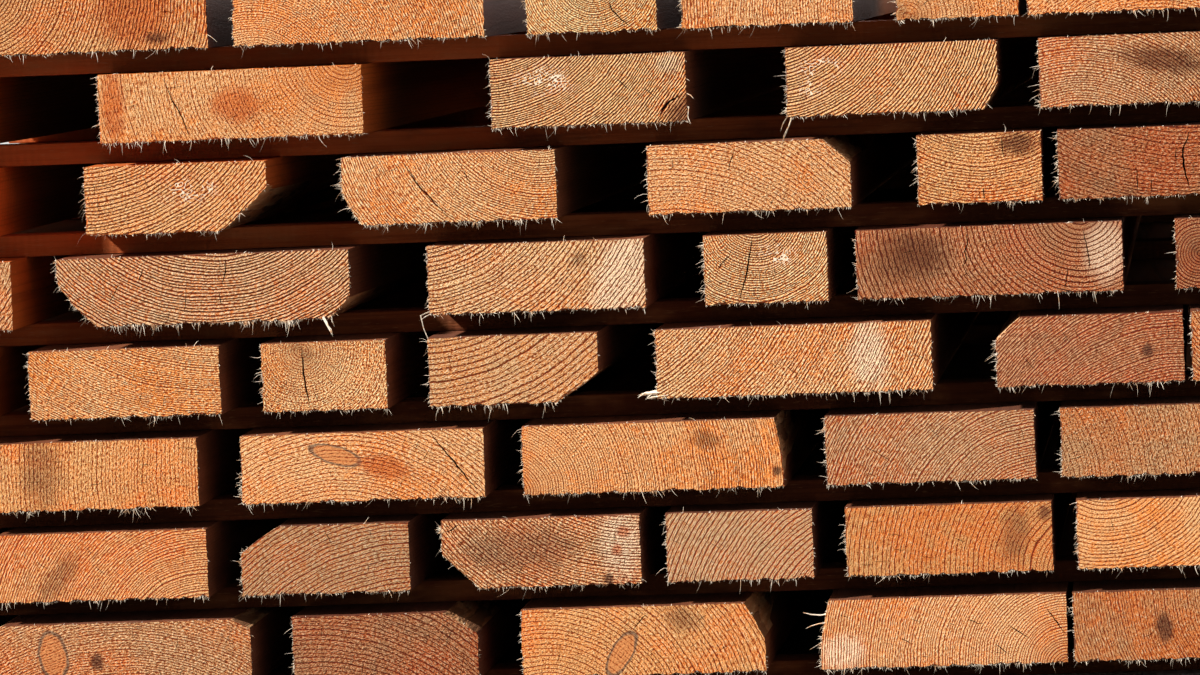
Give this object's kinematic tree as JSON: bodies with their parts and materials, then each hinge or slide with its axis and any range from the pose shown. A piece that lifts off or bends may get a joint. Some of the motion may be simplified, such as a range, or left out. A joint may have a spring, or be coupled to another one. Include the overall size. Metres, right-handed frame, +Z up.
{
  "type": "stack of lumber",
  "caption": "Stack of rough-sawn softwood boards in layers, held apart by thin cross stickers so air can pass and dry them.",
  "frame": {"origin": "on the ground, under the middle of the stack", "axes": "+Y runs along the boards from the front end grain to the back, +X runs across the boards to the right seen from the front, +Z is up"},
  "size_m": [1.07, 3, 0.528],
  "materials": {
    "board_wood": "rough-sawn softwood, fresh orange-tan end grain with rings, checks, knots and saw tear-out",
    "sticker_wood": "thin sawn strips, darkened brown"
  },
  "bodies": {
    "root": {"layer_1_board_1": "board_wood", "layer_1_board_2": "board_wood", "layer_1_board_3": "board_wood", "layer_1_board_4": "board_wood", "layer_1_board_5": "board_wood", "layer_1_board_6": "board_wood", "layer_2_board_1": "board_wood", "layer_2_board_2": "board_wood", "layer_2_board_3": "board_wood", "layer_2_board_4": "board_wood", "layer_2_board_5": "board_wood", "layer_2_board_6": "board_wood", "layer_2_board_7": "board_wood", "layer_3_board_1": "board_wood", "layer_3_board_2": "board_wood", "layer_3_board_3": "board_wood", "layer_3_board_4": "board_wood", "layer_3_board_5": "board_wood", "layer_3_board_6": "board_wood", "layer_4_board_1": "board_wood", "layer_4_board_2": "board_wood", "layer_4_board_3": "board_wood", "layer_4_board_4": "board_wood", "layer_4_board_5": "board_wood", "layer_4_board_6": "board_wood", "layer_4_board_7": "board_wood", "layer_5_board_1": "board_wood", "layer_5_board_2": "board_wood", "layer_5_board_3": "board_wood", "layer_5_board_4": "board_wood", "layer_5_board_5": "board_wood", "layer_5_board_6": "board_wood", "layer_6_board_1": "board_wood", "layer_6_board_2": "board_wood", "layer_6_board_3": "board_wood", "layer_6_board_4": "board_wood", "layer_6_board_5": "board_wood", "layer_6_board_6": "board_wood", "layer_7_board_1": "board_wood", "layer_7_board_2": "board_wood", "layer_7_board_3": "board_wood", "layer_7_board_4": "board_wood", "layer_7_board_5": "board_wood", "layer_8_board_1": "board_wood", "layer_8_board_2": "board_wood", "layer_8_board_3": "board_wood", "layer_8_board_4": "board_wood", "layer_8_board_5": "board_wood", "layer_8_board_6": "board_wood", "layer_8_board_7": "board_wood", "stickers_back": "sticker_wood", "stickers_front": "sticker_wood", "stickers_inner_back": "sticker_wood", "stickers_inner_front": "sticker_wood", "stickers_middle": "sticker_wood"}
  },
  "joints": []
}
